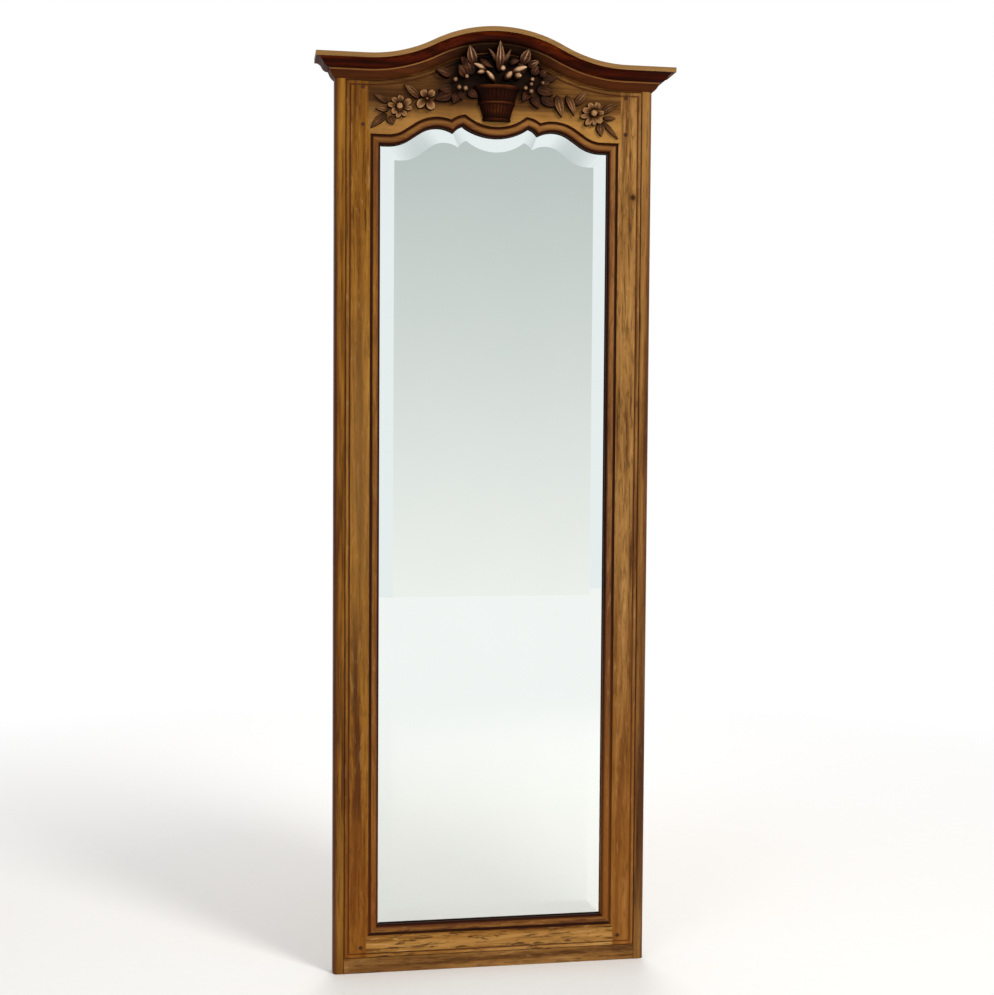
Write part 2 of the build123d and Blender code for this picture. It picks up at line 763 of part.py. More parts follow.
def carved_leaves(datum_x, datum_z, leaves, berries):
    with BuildPart() as carving:
        for foot_dx, foot_dz, tip_dx, tip_dz, width, proud in leaves:
            foot_x = datum_x + foot_dx
            foot_z = datum_z + foot_dz
            tip_x = datum_x + tip_dx
            tip_z = datum_z + tip_dz
            length = math.hypot(tip_x - foot_x, tip_z - foot_z)
            side_x = (tip_z - foot_z) / length * width / 2
            side_z = (foot_x - tip_x) / length * width / 2
            middle = ((foot_x + tip_x) / 2, (foot_z + tip_z) / 2)
            with BuildSketch(front) as leaf:
                with BuildLine():
                    ThreePointArc((foot_x, foot_z), (middle[0] + side_x, middle[1] + side_z), (tip_x, tip_z))
                    ThreePointArc((tip_x, tip_z), (middle[0] - side_x, middle[1] - side_z), (foot_x, foot_z))
                make_face()
            extrude(amount=proud - leaf_cap)
            extrude(leaf.sketch.moved(Location((0, leaf_cap - proud, 0))), amount=leaf_cap, taper=leaf_taper)
        for x, z, proud in berries:
            with BuildSketch(front):
                with Locations((datum_x + x, datum_z + z)):
                    Circle(berry_radius)
            extrude(amount=proud - berry_radius / 2)
    return carving.part


bouquet_leaves = [
    (4, 32, 6, 95, 14, 31),
    (1, 36, -19, 76, 7, 24),
    (6, 36, 26, 76, 7, 24),
    (-44, 43, -59, 83, 17, 27),
    (-24, 36, -46, 46, 7, 22),
    (-2, 10, -25, 37, 9, 20),
    (-22, 31, -39, 26, 9, 18),
    (44, 46, 65, 79, 14, 27),
    (62, 44, 90, 56, 11, 24),
    (22, 26, 58, 42, 9, 22),
    (20, 12, 24, 32, 10, 18),
    (30, 30, 48, 20, 11, 20),
    (-62, 14, -86, 34, 15, 15),
    (-88, 24, -124, 34, 13, 12),
    (-88, 6, -120, -2, 16, 10),
    (-70, 0, -78, -26, 12, 10),
    (66, 14, 84, 34, 15, 15),
    (92, 20, 128, 30, 12, 12),
    (88, 6, 118, -8, 17, 10),
    (72, 0, 86, -30, 13, 10),
]
bouquet_berries = [
    (11, 40, 26),
    (-84, 16, 16),
    (-76, 3, 16),
    (-65, 0, 17),
    (-67, 24, 16),
    (70, 4, 17),
    (76, -3, 16),
    (98, 15, 15),
]
left_spray_leaves = [
    (145, 104, 119, 95, 5, 6),
    (87, 100, 51, 127, 15, 10),
    (87, 104, 103, 92, 12, 10),
    (87, 90, 105, 104, 12, 10),
    (47, 98, 33, 84, 14, 11),
    (31, 100, 47, 80, 14, 11),
    (23, 88, 53, 90, 14, 11),
    (21, 84, -13, 104, 14, 9),
    (17, 76, -9, 75, 11, 9),
    (37, 76, 15, 60, 6, 8),
    (23, 36, 15, 62, 10, 9),
    (13, 62, -20, 32, 7, 7),
]
right_spray_leaves = [
    (-147, 114, -119, 95, 5, 6),
    (-109, 115, -96, 74, 13, 11),
    (-90, 113, -75, 77, 12, 11),
    (-79, 104, -49, 126, 13, 9),
    (-51, 90, -31, 82, 14, 11),
    (-51, 74, -31, 84, 14, 11),
    (-45, 62, -31, 84, 14, 11),
    (-31, 58, -31, 86, 14, 11),
    (-15, 66, -33, 84, 14, 11),
    (-13, 83, -35, 84, 14, 11),
    (-13, 78, 19, 97, 13, 9),
    (-9, 72, 17, 70, 10, 9),
    (-25, 60, -14, 34, 11, 9),
    (-11, 64, 23, 29, 7, 7),
]

with BuildPart() as carved_bouquet:
    add(carved_leaves(0, basket_top, bouquet_leaves, bouquet_berries))
    add(crown_front.part, mode=Mode.SUBTRACT)
    add(carved_basket.part, mode=Mode.SUBTRACT)

with BuildPart() as left_spray:
    add(carved_leaves(-sight_half_width, sight_top, left_spray_leaves, []))

with BuildPart() as right_spray:
    add(carved_leaves(sight_half_width, sight_top, right_spray_leaves, []))

pieces = {
    "left_stile": left_stile.part,
    "right_stile": right_stile.part,
    "top_rail": top_rail.part,
    "bottom_rail": bottom_rail.part,
    "joint_pegs": joint_pegs.part,
    "left_side_board": left_side_board.part,
    "right_side_board": right_side_board.part,
    "base_rail": base_rail.part,
    "cap_rail": cap_rail.part,
    "crown_front": crown_front.part,
    "crown_return_left": crown_return_left.part,
    "crown_return_right": crown_return_right.part,
    "crown_screws": crown_screws.part,
    "mirror_glass": mirror_glass.part,
    "silvering": silvering.part,
    "left_glazing_strip": left_glazing_strip.part,
    "right_glazing_strip": right_glazing_strip.part,
    "bottom_glazing_strip": bottom_glazing_strip.part,
    "head_board": head_board.part,
    "strip_pins": strip_pins.part,
    "setting_blocks": setting_blocks.part,
    "bottom_batten": battens[0],
    "middle_batten": battens[1],
    "top_batten": battens[2],
    "batten_screws": batten_screws.part,
    "board_nails": board_nails.part,
    "carved_basket": carved_basket.part,
    "carved_bouquet": carved_bouquet.part,
    "left_spray": left_spray.part,
    "right_spray": right_spray.part,
}
for index, board in enumerate(back_boards, start=1):
    pieces[f"back_board_{index}"] = board

for name, piece in pieces.items():
    piece.label = name
    export_step(piece, f"parts/{name}.step")
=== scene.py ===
import math
import random

import bmesh
import bpy
from mathutils import Matrix, Vector


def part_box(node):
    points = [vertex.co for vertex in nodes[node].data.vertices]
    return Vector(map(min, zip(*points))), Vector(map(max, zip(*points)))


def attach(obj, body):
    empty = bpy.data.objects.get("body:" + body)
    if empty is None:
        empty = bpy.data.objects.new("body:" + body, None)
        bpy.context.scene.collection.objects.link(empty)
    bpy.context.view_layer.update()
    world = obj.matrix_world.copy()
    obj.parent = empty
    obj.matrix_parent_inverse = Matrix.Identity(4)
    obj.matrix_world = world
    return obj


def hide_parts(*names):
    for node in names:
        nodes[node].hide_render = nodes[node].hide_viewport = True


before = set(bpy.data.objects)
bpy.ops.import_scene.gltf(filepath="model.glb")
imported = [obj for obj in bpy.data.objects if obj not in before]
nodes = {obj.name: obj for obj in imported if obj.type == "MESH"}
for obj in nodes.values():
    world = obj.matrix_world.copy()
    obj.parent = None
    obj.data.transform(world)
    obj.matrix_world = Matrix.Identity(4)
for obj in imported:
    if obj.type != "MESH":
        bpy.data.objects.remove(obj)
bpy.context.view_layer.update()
print("frame loaded:", len(nodes), "nodes")

mm = 0.001
coatRoughness = 0.3
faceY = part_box("left_stile")[0].y  # front face of the frame
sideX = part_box("right_side_board")[1].x  # outer face of the side boards


def linear(r, g, b):
    # a colour as seen on screen, 0 to 255, turned into the shader's linear values
    out = []
    for part in (r, g, b):
        c = part / 255
        out.append(c / 12.92 if c <= 0.04045 else ((c + 0.055) / 1.055) ** 2.4)
    return (*out, 1.0)


# Node trees


class Wire:
    # one socket, so that masks can be written as sums and products
    def __init__(self, shader, socket):
        self.shader = shader
        self.socket = socket

    def math(self, operation, first, second):
        return self.shader.node("ShaderNodeMath", {"operation": operation}, {0: first, 1: second})

    def __add__(self, other):
        return self.math("ADD", self, other)

    def __radd__(self, other):
        return self.math("ADD", other, self)

    def __sub__(self, other):
        return self.math("SUBTRACT", self, other)

    def __rsub__(self, other):
        return self.math("SUBTRACT", other, self)

    def __mul__(self, other):
        return self.math("MULTIPLY", self, other)

    def __rmul__(self, other):
        return self.math("MULTIPLY", other, self)

    def __abs__(self):
        return self.shader.node("ShaderNodeMath", {"operation": "ABSOLUTE"}, {0: self})


class Shader:
    # the node tree of a material, a world or a modifier, with one method that adds any node
    def __init__(self, tree):
        self.tree = tree
        tree.nodes.clear()

    def node(self, kind, settings=None, inputs=None, out=0):
        made = self.tree.nodes.new(kind)
        for key, value in (settings or {}).items():
            if key == "stops":
                ramp = made.color_ramp
                while len(ramp.elements) < len(value):
                    ramp.elements.new(0.5)
                for element, (place, colour) in zip(ramp.elements, value):
                    element.position = place
                    element.color = colour if len(colour) == 4 else (*colour, 1.0)
            else:
                setattr(made, key, value)
        for key, value in (inputs or {}).items():
            for part in value if isinstance(value, list) else [value]:
                if isinstance(part, Wire):
                    self.tree.links.new(part.socket, made.inputs[key])
                else:
                    made.inputs[key].default_value = part
        return Wire(self, made.outputs[out]) if len(made.outputs) else made

    def blend(self, factor, first, second, kind="MIX"):
        settings = {"data_type": "RGBA", "blend_type": kind}
        return self.node("ShaderNodeMix", settings, {0: factor, 6: first, 7: second}, 2)

    def span(self, value, low, high, first=0.0, last=1.0):
        inputs = {0: value, 1: low, 2: high, 3: first, 4: last}
        return self.node("ShaderNodeMapRange", {"clamp": True}, inputs)

    def noise(self, vector, scale, detail=3.0, rough=0.55, distortion=0.0):
        inputs = {"Vector": vector, "Scale": scale, "Detail": detail}
        inputs.update({"Roughness": rough, "Distortion": distortion})
        return self.node("ShaderNodeTexNoise", None, inputs)

    def place(self):
        # where a point is on the piece, in metres
        return self.node("ShaderNodeTexCoord", None, None, "Object")

    def moved(self, vector, location, scale):
        inputs = {"Vector": vector, "Location": location, "Scale": scale}
        return self.node("ShaderNodeMapping", None, inputs)

    def parts(self, vector):
        made = self.node("ShaderNodeSeparateXYZ", None, {0: vector}).socket.node
        return [Wire(self, made.outputs[i]) for i in range(3)]

    def finish(self, colour, rough, normal=None, coat=0.0, metallic=0.0, shine=0.16):
        inputs = {"Base Color": colour, "Roughness": rough, "Metallic": metallic, "Coat Weight": coat}
        inputs["Coat Roughness"] = coatRoughness
        inputs["Specular IOR Level"] = shine
        if normal is not None:
            inputs["Normal"] = normal
        surface = self.node("ShaderNodeBsdfPrincipled", None, inputs)
        self.node("ShaderNodeOutputMaterial", None, {0: surface})

    def bump(self, height, strength, distance):
        inputs = {"Strength": strength, "Distance": distance, "Height": height}
        return self.node("ShaderNodeBump", None, inputs)


def newMaterial(name):
    made = bpy.data.materials.new(name)
    made.use_nodes = True
    return made, Shader(made.node_tree)


# Oak

oakGrain = {
    "stretch": 0.045,  # how much longer streaks and pores are along the grain
    "fleckStretch": 0.16,
    "broad": 9.0,  # scales of the patterns, from the widest bands to the pores
    "streak": 55.0,
    "pores": 260.0,
    "patches": 5.0,
    "flecks": 170.0,
    "paleFleck": (205, 160, 105),
    "relief": 0.3,  # strength and depth of the bump
    "depth": 0.0012,
    "coat": 0.01,
}


def oakColours(light, middle, dark, groove, shine=0.11):
    tone = {"light": light, "middle": middle, "dark": dark, "groove": groove}
    return {**{part: linear(*colour) for part, colour in tone.items()}, "shine": shine}


def along(axis, stretch):
    # the scale that draws a pattern out along the grain, which runs along X or Z
    return (stretch, 1.0, 1.0) if axis == "X" else (1.0, 1.0, stretch)


def addFlecks(s, place, axis, tone, offset, amount, colour):
    # short dark and pale dashes, as on quarter-sawn oak
    scale = along(axis, oakGrain["fleckStretch"])
    spots = s.noise(s.moved(place, offset, scale), oakGrain["flecks"], 2.0, 0.6, 0.6)
    dark = s.span(spots, 0.54, 0.64)
    colour = s.blend(dark * amount, colour, tone["groove"])
    pale = s.span(spots, 0.30, 0.40, 1.0, 0.0)
    return s.blend(pale * (amount * 0.6), colour, linear(*oakGrain["paleFleck"]))


def oak(name, axis, tone, offset, flecks=0.0, depths=None, extra=None, rough=0.42):
    # oak with streaks, pores and flecks; depths paint shade, with some patina, on what lies behind the
    # front face
    made, s = newMaterial(name)
    place = s.place()
    x, y, z = s.parts(place)
    moved = s.moved(place, offset, along(axis, oakGrain["stretch"]))
    broad = s.noise(moved, oakGrain["broad"], 3.0, 0.5, 0.4)
    streak = s.noise(moved, oakGrain["streak"], 4.0, 0.6, 0.25)
    fine = s.noise(moved, oakGrain["pores"], 3.0, 0.65, 0.1)
    patches = s.noise(s.moved(place, offset, (1.0, 1.0, 1.0)), oakGrain["patches"], 3.0, 0.6)
    grain = s.span(broad * 0.45 + streak * 0.55, 0.37, 0.63)
    stops = [(0.0, tone["dark"]), (0.45, tone["middle"]), (1.0, tone["light"])]
    colour = s.node("ShaderNodeValToRGB", {"stops": stops}, {0: grain})
    lines = s.span(streak, 0.34, 0.47, 1.0, 0.0)
    colour = s.blend(lines * 0.6, colour, tone["dark"])
    pores = s.span(fine, 0.32, 0.45, 1.0, 0.0)
    colour = s.blend(pores * 0.6, colour, tone["groove"])
    if flecks:
        colour = addFlecks(s, place, axis, tone, offset, flecks, colour)
    # patches of wear, darker at random
    worn = s.span(patches, 0.38, 0.66)
    colour = s.blend(worn * 0.28, colour, tone["middle"], "MULTIPLY")
    # painted shade, with some patina, in the moulding's recesses behind the face
    for near, far, amount, shade in depths or []:
        mask = s.span(y, faceY + near * mm, faceY + far * mm)
        colour = s.blend(mask * amount, colour, linear(*shade))
    if extra:
        colour = extra(s, place, x, y, z, colour)
    gloss = s.span(patches + streak * 0.4, 0.45, 0.95, rough - 0.05, rough + 0.14)
    relief = s.bump(streak * 0.5 + fine * 0.5, oakGrain["relief"], oakGrain["depth"])
    s.finish(colour, gloss, relief, oakGrain["coat"], 0.0, tone["shine"])
    return made


golden = oakColours((166, 116, 42), (122, 76, 18), (72, 36, 6), (34, 12, 2))
goldenLight = oakColours((162, 118, 62), (124, 82, 36), (78, 44, 14), (36, 15, 4))
railTone = oakColours((196, 148, 82), (152, 104, 42), (94, 52, 10), (44, 18, 3))
headTone = oakColours((142, 98, 46), (100, 64, 26), (60, 34, 13), (28, 11, 4), 0.05)
crownTone = oakColours((136, 52, 8), (74, 20, 3), (38, 8, 1), (16, 3, 1), 0.03)
plainTone = oakColours((196, 158, 108), (170, 130, 82), (132, 94, 52), (84, 54, 26))

# the moulding steps down behind the face, and its recesses get painted shade with some patina, darker
# the deeper:
# each band is its near and far depth in mm, its weight and its shade
frameShadeDepths = [
    (0.1, 0.7, 0.30, (120, 72, 40)),
    (1.2, 3.6, 0.78, (72, 26, 8)),
    (3.4, 4.4, 0.75, (30, 8, 2)),
    (4.6, 7.0, 0.55, (72, 32, 12)),
    (8.0, 9.2, 0.70, (34, 14, 8)),
]


def onFace(s, y):
    # 1 on the front face of the frame, 0 in the moulding behind it
    return s.span(y, faceY + 1.0 * mm, faceY + 0.2 * mm)


# where each tint of the top rail begins and ends, in metres: painted shade high up, a golden band that
# is partly painted light, and a painted shadow behind the bouquet
headTints = {
    "upperShadeHeights": (1.752, 1.80),
    "upperShade": (66, 40, 21),
    "goldHeights": (1.752, 1.792),
    "gold": (176, 128, 66),
    "shadowHeights": (1.795, 1.822),
    "shadowSides": (0.085, 0.14),
    "shadow": (12, 4, 3),
}


def headShade(s, place, x, y, z, colour):
    # painted shade, darker and greyer high up round the carving and more so on the left; a golden band
    # above the moulding, partly painted light and lighter to the right; a near black painted shadow
    # behind the bouquet
    mottle = s.noise(place, 16.0, 3.0, 0.6)
    high = s.span(z, *headTints["upperShadeHeights"])
    upperShade = high * s.span(mottle, 0.30, 0.70, 0.45, 0.95) * s.span(x, -0.2, 0.2, 1.0, 0.75)
    colour = s.blend(upperShade * 0.70, colour, linear(*headTints["upperShade"]))
    gold = s.span(z, *headTints["goldHeights"], 1.0, 0.0) * s.span(mottle, 0.3, 0.6, 0.4, 1.0)
    gold = gold * onFace(s, y) * s.span(x, -0.1, 0.2, 0.6, 0.85)
    colour = s.blend(gold, colour, linear(*headTints["gold"]))
    sides = abs(x) + (mottle - 0.5) * 0.05
    deep = s.span(sides, *headTints["shadowSides"], 1.0, 0.0) * s.span(z, *headTints["shadowHeights"])
    return s.blend(deep * 0.95, colour, linear(*headTints["shadow"]))


# the crown in mm out from the face of the frame, or from a side board round the corner
crownFillet = (38.6, 39.2)
crownFoot = (10.2, 11.2)
# each band, a painted shadow under the fillet, painted shade in the hollow and a painted highlight on
# the shelf: where it comes in, where it goes out, its weight and its shade
crownBands = {
    "under": ((34.0, 36.4), (37.4, 38.6), 0.9, (26, 8, 3)),
    "hollow": ((12.4, 13.6), (15.0, 24.0), 0.72, (34, 10, 4)),
    "shelf": ((11.4, 11.9), (12.3, 12.9), 0.8, (150, 104, 58)),
}


def addBand(s, out, name, colour):
    rise, fall, weight, shade = crownBands[name]
    mask = s.span(out, *rise) * s.span(out, *fall, 1.0, 0.0)
    return s.blend(mask * weight, colour, linear(*shade))


def crownShade(s, place, x, y, z, colour):
    # golden upper fillet and brown foot, with painted shadow under the fillet, in the hollow and behind
    # the bouquet, and a painted highlight on the pale shelf
    out = (y - faceY) * (-1 / mm)
    near = s.span(abs(x), 0.06, 0.135, 1.0, 0.0)
    colour = s.blend(near * s.span(out, 20.0, 28.0, 0.9, 0.0), colour, linear(20, 6, 4))
    streaks = s.noise(s.moved(place, (0.3, 0.1, 0.2), (0.05, 1.0, 1.0)), 90.0, 3.0, 0.6)
    gold = s.blend(streaks, linear(92, 66, 34), linear(164, 124, 76))
    colour = s.blend(s.span(out, *crownFillet), colour, gold)
    for name in crownBands:
        colour = addBand(s, out, name, colour)
    brown = s.blend(streaks, linear(34, 14, 5), linear(92, 50, 20))
    colour = s.blend(s.span(out, *crownFoot, 1.0, 0.0) * 0.8, colour, brown)
    return s.blend(near * s.span(out, 12.0, 14.0, 0.85, 0.0), colour, linear(16, 6, 4))


def sideCrownShade(s, place, x, y, z, colour):
    # the same bands along a side, with the painted shadow under the fillet
    out = (abs(x) - sideX) * (1 / mm)
    colour = s.blend(s.span(out, *crownFillet), colour, linear(124, 90, 50))
    colour = addBand(s, out, "under", colour)
    return s.blend(s.span(out, *crownFoot, 1.0, 0.0) * 0.8, colour, linear(64, 38, 16))


# the outer corner of a side board, where shade is painted, and its joint with the stile, in metres from
# the middle
shadedBoardEdge = (0.3185, 0.3275)
boardJoint = (0.3075, 0.3098)


def boardShade(s, place, x, y, z, colour):
    # painted shade on the rounded outer corner, redder and darker, more so on the left, away from the
    # light
    edge = s.span(abs(x), *shadedBoardEdge)
    colour = s.blend(edge * s.span(x, -0.1, 0.1, 0.85, 0.6), colour, linear(70, 27, 7))
    joint = s.span(abs(x), *boardJoint, 1.0, 0.0)
    return s.blend(joint * 0.85, colour, linear(40, 14, 5))


def leftShade(s, place, x, y, z, colour):
    # brightest about the middle of its height and redder towards the floor
    middle = s.span(z, 0.5, 0.95) * s.span(z, 1.15, 1.55, 1.0, 0.0) * onFace(s, y)
    colour = s.blend(middle * 0.24, colour, linear(190, 140, 70))
    return s.blend(s.span(z, 0.1, 0.6, 0.3, 0.0), colour, linear(136, 66, 4))


knot = {"x": 0.2905, "z": 1.612, "core": (0.003, 0.009), "halo": (0.008, 0.024)}


def rightShade(s, place, x, y, z, colour):
    # one dark knot high up, and redder towards the floor
    middle = (knot["x"], faceY, knot["z"])
    away = s.node("ShaderNodeVectorMath", {"operation": "DISTANCE"}, {0: place, 1: middle}, 1)
    halo = s.span(away, *knot["halo"], 1.0, 0.0)
    colour = s.blend(halo * 0.35, colour, linear(84, 44, 14))
    colour = s.blend(s.span(z, 0.2, 0.8, 0.4, 0.0), colour, linear(156, 92, 18))
    core = s.span(away, *knot["core"], 1.0, 0.0)
    return s.blend(core * 0.9, colour, linear(34, 12, 4))


def seamShade(name):
    # the edges of a back board are dark where it meets its neighbour
    low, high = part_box(name)
    wide = 2.0 * mm

    def shade(s, place, x, y, z, colour):
        edge = s.span(x, low.x, low.x + wide, 1.0, 0.0) + s.span(x, high.x - wide, high.x)
        return s.blend(edge * 0.85, colour, linear(48, 30, 16))

    return shade


def setFinish(name, material):
    slots = nodes[name].data.materials
    slots.clear()
    slots.append(material)


# grain along, tone, which part of the pattern, flecks, moulding depths with their painted shade and the
# piece's own shading
oakPieces = {
    "left_stile": ("Z", golden, (0.3, 0.7, 0.1), 0.35, frameShadeDepths, leftShade),
    "right_stile": ("Z", goldenLight, (1.7, 0.2, 0.9), 0.4, frameShadeDepths, rightShade),
    "top_rail": ("X", headTone, (0.4, 0.1, 2.3), 0.0, frameShadeDepths, headShade),
    "bottom_rail": ("X", railTone, (2.1, 0.5, 0.2), 0.75, frameShadeDepths, None),
    "left_side_board": ("Z", golden, (3.1, 1.2, 0.4), 0.0, None, boardShade),
    "right_side_board": ("Z", goldenLight, (4.4, 0.3, 1.6), 0.1, None, boardShade),
    "base_rail": ("X", goldenLight, (5.2, 0.6, 3.3), 0.4, None, None),
    "cap_rail": ("X", headTone, (6.1, 0.1, 1.5), 0.0, None, None),
    "crown_front": ("X", crownTone, (7.3, 1.4, 0.8), 0.0, None, crownShade),
    "crown_return_left": ("Z", crownTone, (8.2, 0.5, 0.9), 0.0, None, sideCrownShade),
    "crown_return_right": ("Z", crownTone, (9.4, 2.5, 0.1), 0.0, None, sideCrownShade),
}
for name, (axis, tone, offset, flecks, depths, extra) in oakPieces.items():
    setFinish(name, oak(name + "_oak", axis, tone, offset, flecks, depths, extra))

# timber of the back, unpolished
backRough = {"boards": 0.62, "strips": 0.6}
crosswise = ["bottom_batten", "middle_batten", "top_batten", "head_board", "bottom_glazing_strip"]
upright = ["left_glazing_strip", "right_glazing_strip", "setting_blocks"]
for index in range(1, 6):
    name = f"back_board_{index}"
    shift = (0.9 * index, 0.37 * index, 1.3 * index)
    wood = oak(name + "_wood", "Z", plainTone, shift, extra=seamShade(name), rough=backRough["boards"])
    setFinish(name, wood)
for index, name in enumerate(crosswise):
    shift = (1.1 * index, 0.2, 0.7 * index)
    setFinish(name, oak(name + "_wood", "X", plainTone, shift, rough=backRough["strips"]))
stripWood = oak("glazing_strip_wood", "Z", plainTone, (0.4, 2.2, 0.6), rough=backRough["strips"])
for name in upright:
    setFinish(name, stripWood)
print("oak finished")

# Pegs, fixings and plate


def pegFinish():
    # dark end grain
    made, s = newMaterial("peg_end_grain")
    speck = s.noise(s.place(), 900.0, 3.0, 0.6)
    colour = s.blend(s.span(speck, 0.35, 0.65), linear(30, 14, 6), linear(86, 52, 26))
    s.finish(colour, s.span(speck, 0.3, 0.7, 0.4, 0.6), s.bump(speck, 0.3, 0.0004))
    return made


def steelFinish():
    # dull steel with a few spots of rust
    made, s = newMaterial("dull_steel")
    place = s.place()
    speck = s.noise(place, 700.0, 4.0, 0.65)
    rust = s.span(s.noise(place, 240.0, 3.0, 0.6), 0.52, 0.66)
    grey = s.blend(speck, linear(96, 92, 86), linear(168, 164, 156))
    colour = s.blend(rust * 0.7, grey, linear(94, 58, 36))
    rough = s.span(speck, 0.3, 0.7, 0.32, 0.5)
    metal = s.span(rust, 0.0, 1.0, 1.0, 0.3)
    s.finish(colour, rough, s.bump(speck, 0.25, 0.0003), 0.0, metal, 0.5)
    return made


def plateFinish():
    # silvered plate seen from the front, bright and very slightly green
    made, s = newMaterial("silvered_plate")
    place = s.place()
    cloud = s.noise(place, 5.0, 4.0, 0.6)
    colour = s.blend(cloud, (0.85, 0.89, 0.87, 1.0), (0.90, 0.93, 0.91, 1.0))
    ripple = s.bump(s.noise(place, 2.2, 1.0, 0.5), 0.04, 0.002)
    s.finish(colour, s.span(cloud, 0.3, 0.7, 0.0, 0.012), ripple, 0.0, 1.0)
    return made


def silverFinish():
    # the back of the plate, clouded and speckled
    made, s = newMaterial("silvering")
    place = s.place()
    cloud = s.noise(place, 6.0, 4.0, 0.6)
    foxing = s.span(s.noise(place, 420.0, 2.0, 0.6), 0.70, 0.76)
    colour = s.blend(cloud, (0.80, 0.84, 0.82, 1.0), (0.86, 0.89, 0.87, 1.0))
    colour = s.blend(foxing * 0.25, colour, (0.35, 0.33, 0.28, 1.0))
    s.finish(colour, s.span(cloud, 0.3, 0.7, 0.015, 0.03), None, 0.0, 1.0)
    return made


setFinish("joint_pegs", pegFinish())
steel = steelFinish()
for name in ("batten_screws", "crown_screws", "board_nails", "strip_pins"):
    setFinish(name, steel)
setFinish("mirror_glass", plateFinish())
setFinish("silvering", silverFinish())
print("glass and metal finished")

# Carving


def carvedOak(name, pale, middle, deep, reach, shine):
    # carved oak with painted light and shade: pale on what stands proud and where the wear and light
    # mask is high, near black in the recesses; reach is in mm
    made, s = newMaterial(name)
    place = s.place()
    height = s.span(s.parts(place)[1], faceY, faceY - reach * mm)
    shade = s.node("ShaderNodeAttribute", {"attribute_name": "worn"}, None, 2)
    grain = s.noise(s.moved(place, (0.2, 0.4, 0.6), (0.25, 1.0, 1.0)), 240.0, 3.0, 0.6)
    mottle = s.noise(place, 60.0, 3.0, 0.6)
    lit = shade * s.span(height, 0.25, 0.85, 0.42, 1.1)
    stops = [(0.0, linear(*deep)), (0.42, linear(*middle)), (1.0, linear(*pale))]
    colour = s.node("ShaderNodeValToRGB", {"stops": stops}, {0: lit + (mottle - 0.5) * 0.5})
    lines = s.span(grain, 0.34, 0.46, 1.0, 0.0)
    colour = s.blend(lines * 0.45, colour, linear(*deep))
    s.finish(colour, s.span(mottle, 0.3, 0.7, 0.36, 0.52), s.bump(grain, 0.35, 0.0006), 0.0, 0.0, shine)
    return made


bouquetOak = carvedOak("bouquet_oak", (204, 164, 126), (74, 40, 20), (12, 4, 2), 34.0, 0.10)
sprayOak = carvedOak("spray_oak", (162, 120, 80), (92, 58, 31), (22, 9, 4), 12.0, 0.08)
basketOak = carvedOak("basket_oak", (92, 48, 20), (42, 14, 4), (12, 3, 1), 30.0, 0.03)

# steps along, steps from the middle to a side, height of the foot as a share of the tip's,
# then how the surface swells, as shares of the width
leafShape = {
    "steps": 12,
    "halves": 4,
    "foot": 0.55,
    "midrib": 0.085,
    "ribWidth": 0.13,
    "hollow": 0.13,
    "veins": 0.025,
    "veinCount": 5.0,
    "veinSlant": 0.22,
}
petalShape = {"steps": 9, "halves": 4, "foot": 0.45, "cup": 0.26, "tipLift": 0.18}
budShape = {"steps": 9, "halves": 4, "foot": 0.6, "dome": 0.34}
shapes = {"leaf": leafShape, "petal": petalShape, "bud": budShape}

# the sides of a leaf from its rim down: how far each ring draws in or spreads, its share of the
# height, and its wear and painted light; the last two make a flat dark skirt round the leaf, a painted
# shadow line
leafSides = [(0.97, 0.72, 0.10), (0.90, 0.30, 0.0), (1.16, 0.03, 0.0), (1.16, -0.03, 0.0)]
leafCut = {
    "least": 1.0,  # mm, the lowest that a top may be
    "sunk": 0.6,  # mm, how far the base goes into the rail
    "highest": 1.06,  # of the leaf's height
    "level": 0.9,
    "settle": 0.10,  # of the width
    "spread": 0.35,  # how far the rings also draw in lengthways
}


def profile(kind, u):
    # half width along the leaf, as a share of the widest
    if kind == "leaf":
        return max(0.03, math.sin(math.pi * u**0.72) ** 0.85)
    if kind == "petal":
        return max(0.12, math.sin(math.pi * min(1.0, u * 0.86 + 0.08) ** 1.25) ** 0.7)
    return max(0.10, math.sin(math.pi * (u * 0.92 + 0.04)) ** 0.6)


def surfaceLift(kind, u, v, width):
    # how far the carved surface rises above the leaf's own level, and its wear and painted light there
    side = abs(v)
    if kind == "leaf":
        rib = math.exp(-((v / leafShape["ribWidth"]) ** 2))
        veins = math.cos(2 * math.pi * leafShape["veinCount"] * (u - leafShape["veinSlant"] * side))
        lift = leafShape["midrib"] * rib + leafShape["hollow"] * side**1.6
        lift += leafShape["veins"] * veins * side * (1 - side)
        worn = 0.35 + 0.55 * rib + 0.35 * side**3 + 0.08 * veins * (1 - side)
    elif kind == "petal":
        lift = petalShape["cup"] * side**2 + petalShape["tipLift"] * u**2
        worn = 0.35 + 0.3 * side**2 + 0.4 * u
    else:
        lift = budShape["dome"] * (1 - side**2)
        worn = 0.25 + 0.7 * (1 - side**2)
    return lift * width, worn


